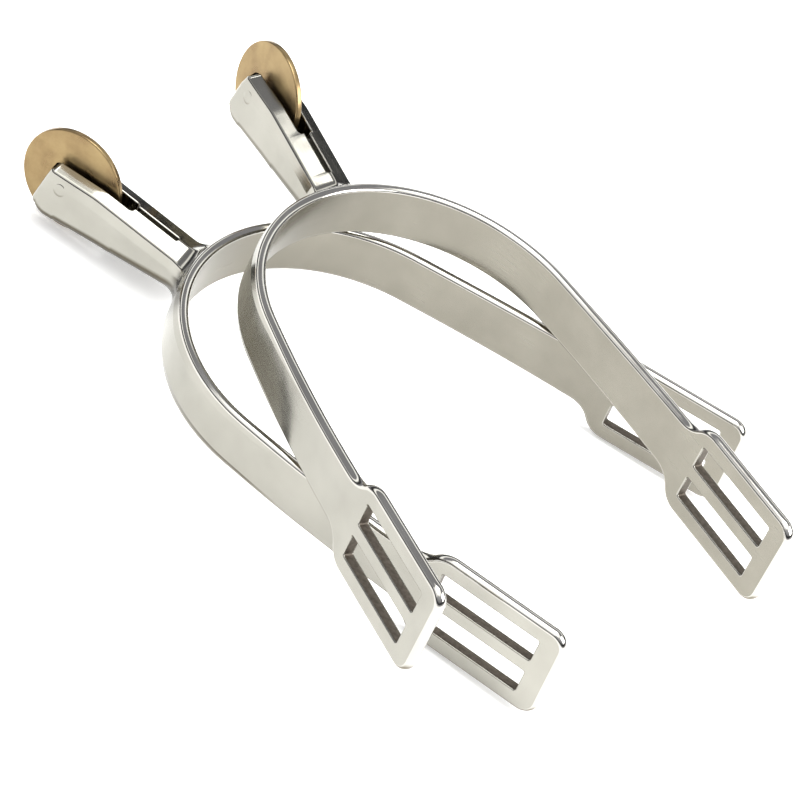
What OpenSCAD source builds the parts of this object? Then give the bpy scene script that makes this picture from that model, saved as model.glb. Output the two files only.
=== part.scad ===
// Pair of English riding spurs with smooth disc rowels, one lying on the other.
// Millimetres, +Z up. The lower spur's toe ends point along +X.
// The origin is on the table, under the middle of the pair's bounding box.

/* [Piece] */
// Which piece to draw

/* [Heel band] */
// Thickness of the metal strip
strip_t = 2.4; // [2:0.1:3]
// Plan radius of the heel curve, to the middle of the strip
heel_r = 35; // [33:0.5:36]
// How far the heel curve turns each side of the back
heel_turn = 81.4; // [80:0.1:83]
// Plan radius of the long curve of each branch
branch_r = 450; // [430:2:470]
// Splay of each strap plate from the spur's centre line
splay = 2.9; // [2:0.1:3.4]
// Height of the strip at the back of the heel
heel_h = 12.3; // [12:0.1:13]
// Lowest point of the top edge, forward of the heel
top_low_x = 20; // [16:1:26]
// Height of the top edge there
top_low_z = 5.9; // [5.7:0.05:5.95]
// Height of the bottom edge at the strap plate
bottom_end_z = -4.65; // [-4.8:0.05:-4.5]

/* [Strap plates] */
// Length of a strap plate
plate_l = 29.4; // [28:0.1:32]
// Height of a strap plate
plate_h = 20.6; // [20:0.1:21.5]
// Height of the plate's middle above the heel's middle
plate_z = 0.9; // [0.7:0.1:1.1]
// Rise of the strap plate towards the toe, in degrees
plate_rise = 2.5; // [2:0.1:2.8]
// Corner radius at the toe end
toe_corner_r = 3.5; // [2.5:0.1:4]
// Radius of the hollow and of the corner that make the upper shoulder
shoulder_r = 6; // [5:0.1:6.5]
// Length of the plate that the upper shoulder takes
shoulder_end = 4.2; // [3.6:0.1:4.6]
// Radius of the hollow and of the corner that make the lower shoulder
low_shoulder_r = 5.2; // [4.6:0.1:5.6]
// Length of the plate that the lower shoulder takes
low_shoulder_end = 3.4; // [3:0.1:3.8]
// Length of a strap slot
slot_l = 21.5; // [20:0.1:22]
// Width of a strap slot
slot_w = 5.15; // [4.6:0.05:5.4]
// Bar between the two slots of a plate
slot_bar = 2.9; // [2.4:0.1:3.4]
// Metal between the plate's shoulder end and the slots
slot_start = 2.9; // [2.6:0.1:3.6]

/* [Neck] */
// Width across the two arms
neck_w = 10; // [9:0.1:11]
// Width of the top of the neck between its outer edges
neck_top_w = 8.8; // [7.6:0.1:9.2]
// Fall of the top from the slot to those edges
crown_drop = 0.8; // [0.4:0.1:1.2]
// Depth of the neck taken up by its crowned top and slanted facets
facet_h = 3.2; // [2:0.1:4]
// Height of the neck's top where it leaves the band
neck_root_z = 2.6; // [2.2:0.1:3]
// Height of the neck's top where it levels out
neck_crest_z = 4.5; // [4.2:0.1:4.9]
// Distance of that crest behind the heel
neck_crest_x = 24; // [22:0.5:27]
// Depth of the underside at the root
neck_root_low = 6; // [5.4:0.1:6.1]
// Depth of the underside at the tip
neck_tip_low = 8.2; // [7.8:0.1:8.8]
// Distance from the heel to the end of the arms
neck_l = 36; // [35.5:0.1:38]
// How far the upper corner of the tip leans back
tip_slant = 1.4; // [1:0.1:3]
// Radius along the lower edges of the neck and at the tip
neck_edge_r = 3.2; // [2.5:0.1:3.4]
// Radius of the plan fillets between neck and band
root_fillet_r = 5; // [4:0.1:6]

/* [Rowel] */
// Radius of the rowel disc
rowel_r = 11; // [10:0.1:11.5]
// Thickness of the rowel disc
rowel_t = 1.3; // [1.1:0.1:2.2]
// Chamfer round the rowel's rim
rowel_chamfer = 0.3; // [0.2:0.05:0.5]
// Distance of the rowel pin behind the heel
rowel_back = 31.2; // [30.5:0.1:31.5]
// Height of the rowel pin above the strip's middle
rowel_z = 0.6; // [0.3:0.1:1]
// Radius of the rowel pin
pin_r = 1.5; // [1.2:0.1:1.7]
// Running clearance round the pin
pin_clearance = 0.06; // [0.03:0.01:0.1]
// Width of the fork's slot
fork_w = 3; // [2.8:0.1:3.4]
// Radius of the slotting cut round the pin
fork_cut_r = 14.8; // [13.5:0.1:15]
// Where the shallow groove ends, behind the heel
groove_end = 6.5; // [6:0.1:8]
// Width of the shallow groove
groove_w = 1; // [0.8:0.1:1.6]
// Depth of the shallow groove
groove_depth = 1.4; // [1:0.1:1.8]

/* [Lie of the pair] */
// Upper spur's place on the lower one, forward
upper_x = 13.6; // [13:0.1:14.5]
// Upper spur's place on the lower one, sideways
upper_y = 23.1; // [22.5:0.1:24]
// Height of the upper spur over the lower one
upper_z = 13.75; // [13.75:0.05:16]
// Turn of the upper spur about the vertical
upper_turn = -29.6; // [-30:0.1:-29]
// Sideways lean of the upper spur on the lower one
upper_roll = -0.2; // [-0.3:0.05:0]
// Forward lean of the upper spur on the lower one
upper_pitch = 1.3; // [1:0.05:1.3]

/* [Hidden] */
$fn = 96;
large_fn = 1440;      // segments of the very large circles
tall = 60;            // more than any height here
wide = 120;           // more than any width here
seam = 0.02;          // hairline between two lengths of the strip, and its depth
lead = 50;            // reach of a cut past the neck's tip

// Plan of one branch: its start, the centre of its long curve, the strap plate's start
branch_start_x = heel_r - heel_r * cos(heel_turn);
branch_start_y = heel_r * sin(heel_turn);
branch_cx = heel_r + (branch_r - heel_r) * cos(heel_turn);
branch_cy = -(branch_r - heel_r) * sin(heel_turn);
plate_x = branch_cx - branch_r * sin(splay);
plate_y = branch_cy + branch_r * cos(splay);

// Side view of the strip: radius of the top edge and its height at the plate
top_dip = heel_h / 2 - top_low_z;
top_edge_r = (top_dip * top_dip + top_low_x * top_low_x) / (2 * top_dip);
function top_edge(x) = top_low_z + top_edge_r - sqrt(pow(top_edge_r, 2) - pow(x - top_low_x, 2));
bottom_slope = (bottom_end_z + heel_h / 2) / plate_x;

// Slopes of the neck's underside and top, in degrees
underside_slope = atan((neck_tip_low - neck_root_low) / neck_l);
crest_slope = atan((neck_crest_z - neck_root_z) / neck_crest_x);

// The lower spur stands on its rowel and on the lower shoulders of its plates
plate_low_x = plate_x + low_shoulder_end + plate_h / 2 * sin(plate_rise);
plate_low_z = plate_z + low_shoulder_end * sin(plate_rise) - plate_h / 2 * cos(plate_rise);
lower_lean = atan((plate_low_z - rowel_z + rowel_r) / (plate_low_x + rowel_back));
lower_z = rowel_r - rowel_z * cos(lower_lean) - rowel_back * sin(lower_lean);

// Middle of the pair's outline, measured from the lower spur's heel
pair_x = 41.2;
pair_y = -9.3;

steel = [0.78, 0.77, 0.74];
brass = [0.74, 0.60, 0.38];

// Draws a side view (x, z) as a slab across the spur
module across(w) {
    rotate([90, 0, 0]) linear_extrude(w, center = true) children();
}

// Draws a cross-section (y, z) as a bar along +X
module along(l) {
    rotate([90, 0, 90]) linear_extrude(l) children();
}

module at_rowel_pin() {
    translate([-rowel_back, 0, rowel_z]) rotate([90, 0, 0]) children();
}

// Piece of the strip bent to a plan radius
module bent_strip(r, angle) {
    rotate_extrude(angle = angle) translate([r - strip_t / 2, -tall / 2]) square([strip_t, tall]);
}

// Short thinner length inside the strip, holding two lengths of it together
module seam_key() {
    reach = 1.6; // past the seam on each side
    translate([-reach, -strip_t / 2 + seam, -tall / 2]) cube([2 * reach, strip_t - 2 * seam, tall]);
}

module branch_plan() {
    translate([branch_cx, branch_cy, 0]) rotate([0, 0, 90 + splay])
        bent_strip(branch_r, 90 - heel_turn - splay, $fn = large_fn);
    translate([branch_start_x, branch_start_y, 0]) rotate([0, 0, 90 - heel_turn]) seam_key();
    translate([plate_x, plate_y, 0]) rotate([0, 0, splay]) {
        seam_key();
        translate([seam, -strip_t / 2, -tall / 2]) cube([plate_l + 1, strip_t, tall]);
    }
}

module strip_plan() {
    turn = heel_turn - seam;
    translate([heel_r, 0, 0]) rotate([0, 0, 180 - turn]) bent_strip(heel_r, 2 * turn, $fn = 360);
    branch_plan();
    mirror([0, 1, 0]) branch_plan();
}

module band_side() {
    reach = plate_x + low_shoulder_end + 2; // well into the strap plate
    difference() {
        polygon([
            [-strip_t, -heel_h / 2], [0, -heel_h / 2], [reach, -heel_h / 2 + reach * bottom_slope],
            [reach, heel_h], [-strip_t, heel_h]
        ]);
        translate([top_low_x, top_low_z + top_edge_r]) circle(top_edge_r, $fn = large_fn);
    }
}

// Points of the S-shaped step from the strip's edge to the plate's edge; up is 1 or -1
function shoulder(edge_z, plate_edge_z, r, end, up) =
    let (steps = 8, turn = acos(1 - abs(plate_edge_z - edge_z) / (2 * r)), start = end - 2 * r * sin(turn))
    concat(
        [[start, edge_z - up]],
        [for (i = [0:steps]) let (t = turn * i / steps)
            [start + r * sin(t), edge_z + up * r * (1 - cos(t))]],
        [for (i = [steps - 1:-1:0]) let (t = turn * i / steps)
            [end - r * sin(t), plate_edge_z - up * r * (1 - cos(t))]]
    );

// Outline of a strap plate, x from its shoulder end
module plate_side() {
    sunk = 0.05; // the shoulders start just inside the strip's edges
    half = plate_h / 2;
    flat_end = plate_l - toe_corner_r;
    upper = shoulder(top_edge(plate_x) - plate_z - sunk, half, shoulder_r, shoulder_end, 1);
    lower = shoulder(bottom_end_z - plate_z + sunk, -half, low_shoulder_r, low_shoulder_end, -1);
    polygon(concat(lower, [[flat_end, -half], [flat_end, half]], [for (i = [len(upper) - 1:-1:0]) upper[i]]));
    translate([plate_l / 2, -half + toe_corner_r]) square([plate_l / 2, plate_h - 2 * toe_corner_r]);
    for (s = [-1, 1])
        translate([flat_end, s * (half - toe_corner_r)]) circle(toe_corner_r);
}

module strap_slots() {
    for (s = [-1, 1])
        translate([slot_start, s * (slot_bar + slot_w) / 2 - slot_w / 2]) square([slot_l, slot_w]);
}

module spur_side() {
    difference() {
        union() {
            band_side();
            translate([plate_x, plate_z]) rotate(plate_rise) plate_side();
        }
        translate([plate_x, plate_z]) rotate(plate_rise) strap_slots();
    }
}

module heel_band() {
    color(steel) intersection() {
        strip_plan();
        across(wide) spur_side();
    }
}

module neck_side() {
    tip_x = -neck_l + neck_edge_r;
    tip_z = -neck_tip_low + neck_edge_r;
    polygon([
        [2, -neck_root_low], [0, -neck_root_low], [tip_x, -neck_tip_low], [tip_x, tip_z],
        [-neck_l, tip_z], [-neck_l + tip_slant, neck_crest_z - 0.4],
        [-neck_crest_x, neck_crest_z], [0, neck_root_z], [2, neck_root_z]
    ]);
    translate([tip_x, tip_z]) circle(neck_edge_r);
}

// Round-bottomed section, standing on z = 0
module underside_section() {
    flat = neck_w / 2 - neck_edge_r;
    translate([-neck_w / 2, neck_edge_r]) square([neck_w, tall]);
    translate([-flat, 0]) square([2 * flat, tall]);
    for (s = [-1, 1]) translate([s * flat, neck_edge_r]) circle(neck_edge_r);
}

// Section with the crowned top and the two slanted facets, hung from the top line
module facet_section() {
    polygon([
        [-neck_w / 2, -tall], [neck_w / 2, -tall], [neck_w / 2, -facet_h],
        [neck_top_w / 2, -crown_drop], [fork_w / 2, 0],
        [-fork_w / 2, 0], [-neck_top_w / 2, -crown_drop], [-neck_w / 2, -facet_h]
    ]);
}

module neck_bar() {
    intersection() {
        across(wide) neck_side();
        translate([-lead, 0, -neck_root_low - lead * tan(underside_slope)])
            rotate([0, -underside_slope, 0]) along(2 * lead) underside_section();
        translate([0, 0, neck_root_z]) rotate([0, crest_slope, 0])
            translate([-lead, 0, 0]) along(2 * lead) facet_section();
    }
}

// Curved webs that spread the neck onto the band, up to where they touch it
module root_webs() {
    outer_r = heel_r + strip_t / 2;
    centre_y = neck_w / 2 + root_fillet_r;
    centre_x = heel_r - sqrt(pow(outer_r + root_fillet_r, 2) - pow(centre_y, 2));
    touch_y = centre_y * outer_r / (outer_r + root_fillet_r);
    web_low = neck_root_low - neck_edge_r / 2;
    for (s = [-1, 1]) difference() {
        translate([centre_x, s * touch_y / 2 - touch_y / 2, -web_low])
            cube([root_fillet_r, touch_y - 0.1, web_low + neck_root_z - crown_drop]);
        translate([centre_x, s * centre_y, 0]) cylinder(r = root_fillet_r, h = tall, center = true);
    }
}

module neck() {
    color(steel) difference() {
        union() {
            neck_bar();
            root_webs();
        }
        translate([heel_r, 0, 0]) cylinder(r = heel_r + strip_t / 2, h = tall, center = true, $fn = 360);
        at_rowel_pin() cylinder(r = fork_cut_r, h = fork_w, center = true);
        translate([-rowel_back - lead, -fork_w / 2, -tall / 2]) cube([lead, fork_w, tall]);
        at_rowel_pin() cylinder(r = pin_r, h = wide, center = true);
        translate([0, 0, neck_root_z]) rotate([0, crest_slope, 0]) {
            translate([-groove_end - groove_w / 2, 0, -groove_depth]) cylinder(r = groove_w / 2, h = tall);
            translate([-rowel_back, -groove_w / 2, -groove_depth])
                cube([rowel_back - groove_end - groove_w / 2, groove_w, tall]);
        }
    }
}

module rowel() {
    bore_r = pin_r + pin_clearance;
    half = rowel_t / 2;
    color(brass) at_rowel_pin() rotate_extrude() polygon([
        [bore_r, -half], [rowel_r - rowel_chamfer, -half], [rowel_r, -half + rowel_chamfer],
        [rowel_r, half - rowel_chamfer], [rowel_r - rowel_chamfer, half], [bore_r, half]
    ]);
}

// The pin's ends are dressed flush with the arms
module rowel_pin() {
    color(steel) intersection() {
        at_rowel_pin() cylinder(r = pin_r, h = wide, center = true);
        neck_bar();
    }
}

module as_lower() {
    translate([-pair_x, -pair_y, lower_z]) rotate([0, lower_lean, 0]) children();
}

module as_upper() {
    as_lower() translate([upper_x, upper_y, upper_z])
        rotate([upper_roll, upper_pitch, upper_turn]) children();
}

module lower_heel_band() { as_lower() heel_band(); }
module lower_neck() { as_lower() neck(); }
module lower_rowel() { as_lower() rowel(); }
module lower_rowel_pin() { as_lower() rowel_pin(); }
module upper_heel_band() { as_upper() heel_band(); }
module upper_neck() { as_upper() neck(); }
module upper_rowel() { as_upper() rowel(); }
module upper_rowel_pin() { as_upper() rowel_pin(); }

lower_heel_band();
lower_neck();
lower_rowel();
lower_rowel_pin();
upper_heel_band();
upper_neck();
upper_rowel();
upper_rowel_pin();
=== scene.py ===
"""A pair of riding spurs with smooth brass disc rowels, built round the CAD frame.

Each piece is modelled once in its own spur's frame: origin at the back of the heel, +X towards
the toes, +Y to the left, +Z up. A copy of its mesh is then moved into place for each spur.
Sizes are in millimetres until a mesh is made.
"""

import math

import bmesh
import bpy
import numpy as np
from mathutils import Matrix, Vector
from mathutils.geometry import delaunay_2d_cdt


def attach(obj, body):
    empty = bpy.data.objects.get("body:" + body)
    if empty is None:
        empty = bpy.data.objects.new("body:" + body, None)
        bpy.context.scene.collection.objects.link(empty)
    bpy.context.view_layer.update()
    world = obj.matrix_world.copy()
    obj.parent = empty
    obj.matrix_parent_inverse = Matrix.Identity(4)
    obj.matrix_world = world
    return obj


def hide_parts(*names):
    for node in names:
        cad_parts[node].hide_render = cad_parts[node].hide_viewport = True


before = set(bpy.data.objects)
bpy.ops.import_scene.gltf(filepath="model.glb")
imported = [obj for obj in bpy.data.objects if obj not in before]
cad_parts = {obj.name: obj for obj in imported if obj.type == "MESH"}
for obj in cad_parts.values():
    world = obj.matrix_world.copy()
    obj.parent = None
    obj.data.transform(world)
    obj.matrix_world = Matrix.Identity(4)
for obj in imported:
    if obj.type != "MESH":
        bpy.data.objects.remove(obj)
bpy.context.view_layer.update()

MM = 0.001

# Heel band, in plan
STRIP_T = 2.4
HEEL_R = 35.0
HEEL_TURN = math.radians(81.4)
BRANCH_R = 450.0
SPLAY = math.radians(2.9)
HEEL_LEN = HEEL_R * HEEL_TURN
BRANCH_END = math.pi / 2 - SPLAY
PLATE_START = HEEL_LEN + BRANCH_R * (BRANCH_END - HEEL_TURN)
BRANCH_CX = HEEL_R + (BRANCH_R - HEEL_R) * math.cos(HEEL_TURN)
BRANCH_CY = -(BRANCH_R - HEEL_R) * math.sin(HEEL_TURN)
OUTER_R = HEEL_R + STRIP_T / 2       # outer face of the heel curve
BACK_X = -STRIP_T / 2                # rearmost point of that face
PLATE_X = BRANCH_CX - BRANCH_R * math.cos(BRANCH_END)

# Heel band, in side view
HEEL_H = 12.3
TOP_LOW_X, TOP_LOW_Z = 20.0, 5.9
BOTTOM_END_Z = -4.65
TOP_DIP = HEEL_H / 2 - TOP_LOW_Z
TOP_R = (TOP_DIP**2 + TOP_LOW_X**2) / (2 * TOP_DIP)

# Strap plates
PLATE_L, PLATE_H, PLATE_Z = 29.4, 20.6, 0.9
PLATE_RISE = math.radians(2.5)
TOE_CORNER_R = 3.5
SHOULDER_R, LOW_SHOULDER_R = 6.0, 5.2
SHOULDER_END, LOW_SHOULDER_END = 4.2, 3.4
SLOT_L, SLOT_W, SLOT_BAR, SLOT_START = 21.5, 5.15, 2.9, 2.9
SLOT_CORNER_R = 0.45

# Spacing of the points along the heel band and along its strap plates
BAND_STEP, PLATE_STEP = 1.0, 1.2
SHOULDER_GAP = 0.6                   # clear of a shoulder's first point

# Neck and rowel
NECK_W, NECK_TOP_W, FACET_H, CROWN_DROP = 10.0, 8.8, 3.2, 0.8
NECK_ROOT_Z, NECK_CREST_Z, NECK_CREST_X = 2.6, 4.5, 24.0
TIP_FALL = 0.035                     # slope of the top past its crest
NECK_ROOT_LOW, NECK_TIP_LOW, NECK_L, TIP_SLANT, NECK_EDGE_R = 6.0, 8.2, 36.0, 1.4, 3.2
ROOT_FILLET_R = 5.0
FORK_W, FORK_CUT_R = 3.0, 14.8
GROOVE_W, GROOVE_END, GROOVE_DEPTH = 1.0, 6.5, 1.4
ROWEL_R, ROWEL_T, ROWEL_BACK, ROWEL_Z = 11.0, 1.3, 31.2, 0.6
PIN_R, PIN_CLEARANCE = 1.5, 0.06

# Lie of the pair
PAIR_X, PAIR_Y = 41.2, -9.3
UPPER_AT = (13.6, 23.1, 13.75)
UPPER_ROLL, UPPER_PITCH, UPPER_TURN = -0.2, 1.3, -29.6


# ---------------------------------------------------------------- placing

def place(x, y, z, roll=0.0, pitch=0.0, turn=0.0):
    """A rigid move in millimetres and degrees, as a matrix in metres."""
    return (
        Matrix.Translation((x * MM, y * MM, z * MM))
        @ Matrix.Rotation(math.radians(turn), 4, "Z")
        @ Matrix.Rotation(math.radians(pitch), 4, "Y")
        @ Matrix.Rotation(math.radians(roll), 4, "X")
    )


def lower_place():
    """The lower spur stands on its rowel and on the lower shoulders of its plates."""
    s, c = math.sin(PLATE_RISE), math.cos(PLATE_RISE)
    low_x = PLATE_X + LOW_SHOULDER_END + PLATE_H / 2 * s
    low_z = PLATE_Z + LOW_SHOULDER_END * s - PLATE_H / 2 * c
    lean = math.atan((low_z - ROWEL_Z + ROWEL_R) / (low_x + ROWEL_BACK))
    up = ROWEL_R - ROWEL_Z * math.cos(lean) - ROWEL_BACK * math.sin(lean)
    return place(-PAIR_X, -PAIR_Y, up, pitch=math.degrees(lean))


LOWER = lower_place()
UPPER = LOWER @ place(*UPPER_AT, roll=UPPER_ROLL, pitch=UPPER_PITCH, turn=UPPER_TURN)


# ---------------------------------------------------------------- mesh helpers

def make_object(name, verts, faces, corner_normals=None, uvs=None):
    """A smooth mesh object from millimetre points, with exact shading normals if given."""
    mesh = bpy.data.meshes.new(name)
    mesh.from_pydata([tuple(np.asarray(v) * MM) for v in verts], [], [list(f) for f in faces])
    mesh.polygons.foreach_set("use_smooth", [True] * len(mesh.polygons))
    if uvs is not None:
        layer = mesh.uv_layers.new(name="UVMap")
        flat = [c for f in faces for i in f for c in uvs[i]]
        layer.data.foreach_set("uv", flat)
    if corner_normals is not None:
        mesh.normals_split_custom_set([tuple(n) for n in corner_normals])
    mesh.update()
    obj = bpy.data.objects.new(name, mesh)
    bpy.context.scene.collection.objects.link(obj)
    return obj


def arc(cx, cy, r, a0, a1, n):
    """Points on an arc, ends included, angles in degrees."""
    return [
        (cx + r * math.cos(math.radians(a)), cy + r * math.sin(math.radians(a)))
        for a in np.linspace(a0, a1, n + 1)
    ]


def spaced(a, b, step):
    """Numbers from a to b, ends included, about a step apart."""
    return np.linspace(a, b, max(1, int(round(abs(b - a) / step))) + 1)


def clean_loop(points, least=0.02):
    """A closed loop with repeated points dropped, counter-clockwise."""
    out = []
    for p in points:
        if not out or math.dist(p, out[-1]) > least:
            out.append(tuple(map(float, p)))
    if math.dist(out[0], out[-1]) <= least:
        out.pop()
    p = np.array(out)
    q = np.roll(p, -1, axis=0)
    area = np.sum(p[:, 0] * q[:, 1] - q[:, 0] * p[:, 1])
    return p if area > 0 else p[::-1]


def left_normals(loop):
    """Unit normals to the left of a closed loop: inwards for a counter-clockwise one."""
    before = loop - np.roll(loop, 1, axis=0)
    after = np.roll(loop, -1, axis=0) - loop
    before /= np.linalg.norm(before, axis=1)[:, None]
    after /= np.linalg.norm(after, axis=1)[:, None]
    t = before + after
    t /= np.linalg.norm(t, axis=1)[:, None]
    return np.c_[-t[:, 1], t[:, 0]]


def inside(points, loop):
    """Which points are inside a closed loop."""
    x, y = points[:, 0], points[:, 1]
    hit = np.zeros(len(points), bool)
    for (x0, y0), (x1, y1) in zip(loop, np.roll(loop, -1, axis=0)):
        if y0 == y1:
            continue
        cross = (y0 > y) != (y1 > y)
        hit ^= cross & (x < (x1 - x0) * (y - y0) / (y1 - y0) + x0)
    return hit


def gap_to(points, loop):
    """Distance of each point to the nearest vertex or edge middle of a loop."""
    marks = np.vstack([loop, (loop + np.roll(loop, -1, axis=0)) / 2])
    best = np.full(len(points), np.inf)
    for m in marks:
        best = np.minimum(best, np.hypot(points[:, 0] - m[0], points[:, 1] - m[1]))
    return best


# ---------------------------------------------------------------- heel band

def band_path(u):
    """Plan of the strip's middle at a signed length u from the heel.

    Gives the point, the tangent, the outward normal and the curvature.
    """
    u = np.asarray(u, float)
    s, side = np.abs(u), np.where(u < 0, -1.0, 1.0)
    angle = np.where(s < HEEL_LEN, s / HEEL_R, HEEL_TURN + (s - HEEL_LEN) / BRANCH_R)
    angle = np.minimum(angle, BRANCH_END)
    heel = s < HEEL_LEN
    x = np.where(heel, HEEL_R - HEEL_R * np.cos(angle), BRANCH_CX - BRANCH_R * np.cos(angle))
    y = np.where(heel, HEEL_R * np.sin(angle), BRANCH_CY + BRANCH_R * np.sin(angle))
    run = np.maximum(s - PLATE_START, 0)
    x = x + run * np.sin(angle)
    y = y + run * np.cos(angle)
    tangent = np.stack([side * np.sin(angle), np.cos(angle)], -1)
    normal = np.stack([-np.cos(angle), side * np.sin(angle)], -1)
    curve = np.where(heel, 1 / HEEL_R, np.where(s < PLATE_START, 1 / BRANCH_R, 0.0))
    return np.stack([x, side * y], -1), tangent, normal, curve


def bent_points(p):
    """Points (u, z, n) of the flat strip, moved onto the spur."""
    point, _, normal, _ = band_path(p[:, 0])
    return np.c_[point + normal * p[:, 2:3], p[:, 1]]


def bent_normals(p, normals):
    """Normals at points (u, z, n) of the flat strip, turned with the spur's bend."""
    _, tangent, normal, curve = band_path(p[:, 0])
    stretch = 1 + curve * p[:, 2]
    d = np.zeros_like(p)
    d[:, :2] = tangent * (normals[:, 0] / stretch)[:, None] + normal * normals[:, 2:3]
    d[:, 2] = normals[:, 1]
    return d / np.linalg.norm(d, axis=1)[:, None]


def top_edge(x):
    """Height of the strip's hollow top edge at x in the side view."""
    return TOP_LOW_Z + TOP_R - np.sqrt(TOP_R**2 - (x - TOP_LOW_X) ** 2)


def bottom_edge(x):
    """Height of the strip's straight bottom edge at x in the side view."""
    return -HEEL_H / 2 + x * (BOTTOM_END_Z + HEEL_H / 2) / PLATE_X


def plate_point(l, h):
    """(u, z) of a point on the left strap plate, l from its shoulder end and h above its middle."""
    s, c = math.sin(PLATE_RISE), math.cos(PLATE_RISE)
    return PLATE_START + l * c - h * s, PLATE_Z + l * s + h * c


def shoulder_curve(edge, face_h, r, end):
    """Points (l, h) of the S-shaped step from the strip's edge up or down to a strap plate's edge.

    edge gives the height of the strip's edge at x, end is where the plate's own edge begins.
    """
    s, c = math.sin(PLATE_RISE), math.cos(PLATE_RISE)
    start = end - r
    # the step's start sets how far it turns, and its turn sets the start: a few rounds settle both
    for _ in range(4):
        x = band_path(PLATE_START + start * c)[0][0]
        edge_h = (float(edge(x)) - PLATE_Z - start * s) / c
        turn = math.degrees(math.acos(1 - abs(face_h - edge_h) / (2 * r)))
        start = end - 2 * r * math.sin(math.radians(turn))
    up = math.copysign(1, face_h - edge_h)
    hollow = arc(start, edge_h + up * r, r, -90 * up, (turn - 90) * up, 8)
    return hollow + arc(end, face_h - up * r, r, (90 + turn) * up, 90 * up, 8)[1:]


def half_outline():
    """Outline of the strip's left half laid flat, from the heel's top edge round to its bottom edge."""
    half = PLATE_H / 2
    upper = shoulder_curve(top_edge, half, SHOULDER_R, SHOULDER_END)
    lower = shoulder_curve(bottom_edge, -half, LOW_SHOULDER_R, LOW_SHOULDER_END)
    us = spaced(0, PLATE_START + upper[0][0] - SHOULDER_GAP, BAND_STEP)
    out = [(u, float(top_edge(band_path(u)[0][0]))) for u in us]
    end, toe = PLATE_L - TOE_CORNER_R, half - TOE_CORNER_R
    plate = upper + [(l, half) for l in spaced(SHOULDER_END, end, PLATE_STEP)]
    plate += arc(end, toe, TOE_CORNER_R, 90, 0, 10)
    plate += [(PLATE_L, h) for h in spaced(toe, -toe, PLATE_STEP)]
    plate += arc(end, -toe, TOE_CORNER_R, 0, -90, 10)
    plate += [(l, -half) for l in spaced(end, LOW_SHOULDER_END, PLATE_STEP)] + lower[::-1]
    out += [plate_point(l, h) for l, h in plate]
    us = spaced(PLATE_START + lower[0][0] - SHOULDER_GAP, 0, BAND_STEP)
    return out + [(u, float(bottom_edge(band_path(u)[0][0]))) for u in us]


def slot_outline(side, up):
    """Outline of one strap slot on the flat strip; side and up are 1 or -1."""
    l0, l1 = SLOT_START, SLOT_START + SLOT_L
    h0, h1 = SLOT_BAR / 2, SLOT_BAR / 2 + SLOT_W
    if up < 0:
        h0, h1 = -h1, -h0
    r = SLOT_CORNER_R
    pts = arc(l1 - r, h1 - r, r, 0, 90, 4)
    pts += [(l, h1) for l in spaced(l1 - r, l0 + r, PLATE_STEP)]
    pts += arc(l0 + r, h1 - r, r, 90, 180, 4)
    pts += [(l0, h) for h in spaced(h1 - r, h0 + r, PLATE_STEP)]
    pts += arc(l0 + r, h0 + r, r, 180, 270, 4)
    pts += [(l, h0) for l in spaced(l0 + r, l1 - r, PLATE_STEP)]
    pts += arc(l1 - r, h0 + r, r, 270, 360, 4)
    pts += [(l1, h) for h in spaced(h0 + r, h1 - r, PLATE_STEP)]
    flat = [plate_point(l, h) for l, h in pts]
    return clean_loop([(side * u, z) for u, z in flat])


# The strip's section: rounded rims, and on the outer face two long facets that fade out at the plates
RIM_OUT_R, RIM_IN_R, SLOT_RIM_R = 0.85, 0.75, 0.3
FACET_TOP_W, FACET_TOP_DROP = 2.7, 0.5
FACET_LOW_W, FACET_LOW_DROP = 2.4, 0.8
FACET_FULL, FACET_GONE = 25.0, 96.0
FACET_LEAST_W, FACET_RUN_OUT = RIM_OUT_R + 0.15, 0.5
FACET_LINE_END = PLATE_START - 4.0
ROUND_STEPS = 7
INWARD = 0.1                         # how far into its triangle a corner's normal is read

# Grid inside a broad face: its rows' spacing, and how clear it stays of edges and facet lines
ROW_STEP, EDGE_CLEAR, LINE_CLEAR = 1.2, 0.6, 0.5

# Places in the heel band's list of materials
POLISHED, RAW_SHADED, SATIN_SHADED, EDGE = range(4)


def facet_fade(u):
    """How much of a facet is left at u: 1 at the heel, 0 near the plates."""
    return np.clip((FACET_GONE - np.abs(u)) / (FACET_GONE - FACET_FULL), 0.0, 1.0)


def edge_heights(u):
    """Heights of the strip's two edges at u, held level past the plate's start."""
    x = band_path(np.clip(u, -PLATE_START, PLATE_START))[0][..., 0]
    return top_edge(x), bottom_edge(x)


def outer_face(u, z):
    """Distance of the outer face from the strip's middle at (u, z)."""
    top, low = edge_heights(u)
    fade = np.maximum(facet_fade(u), 1e-6)
    from_top = np.clip(1 - (top - z) / (FACET_TOP_W * fade), 0, 1)
    from_low = np.clip(1 - (z - low) / (FACET_LOW_W * fade), 0, 1)
    # a facet runs out before its inner line reaches the rounded rim
    top_drop = FACET_TOP_DROP * np.clip((FACET_TOP_W * fade - FACET_LEAST_W) / FACET_RUN_OUT, 0, 1)
    low_drop = FACET_LOW_DROP * np.clip((FACET_LOW_W * fade - FACET_LEAST_W) / FACET_RUN_OUT, 0, 1)
    return STRIP_T / 2 - fade * (top_drop * from_top + low_drop * from_low)


def outer_normals(u, z):
    """Normals of the outer face on the flat strip."""
    e = 0.01
    du = (outer_face(u + e, z) - outer_face(u - e, z)) / (2 * e)
    dz = (outer_face(u, z + e) - outer_face(u, z - e)) / (2 * e)
    n = np.c_[-du, -dz, np.ones_like(du)]
    return n / np.linalg.norm(n, axis=1)[:, None]


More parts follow.
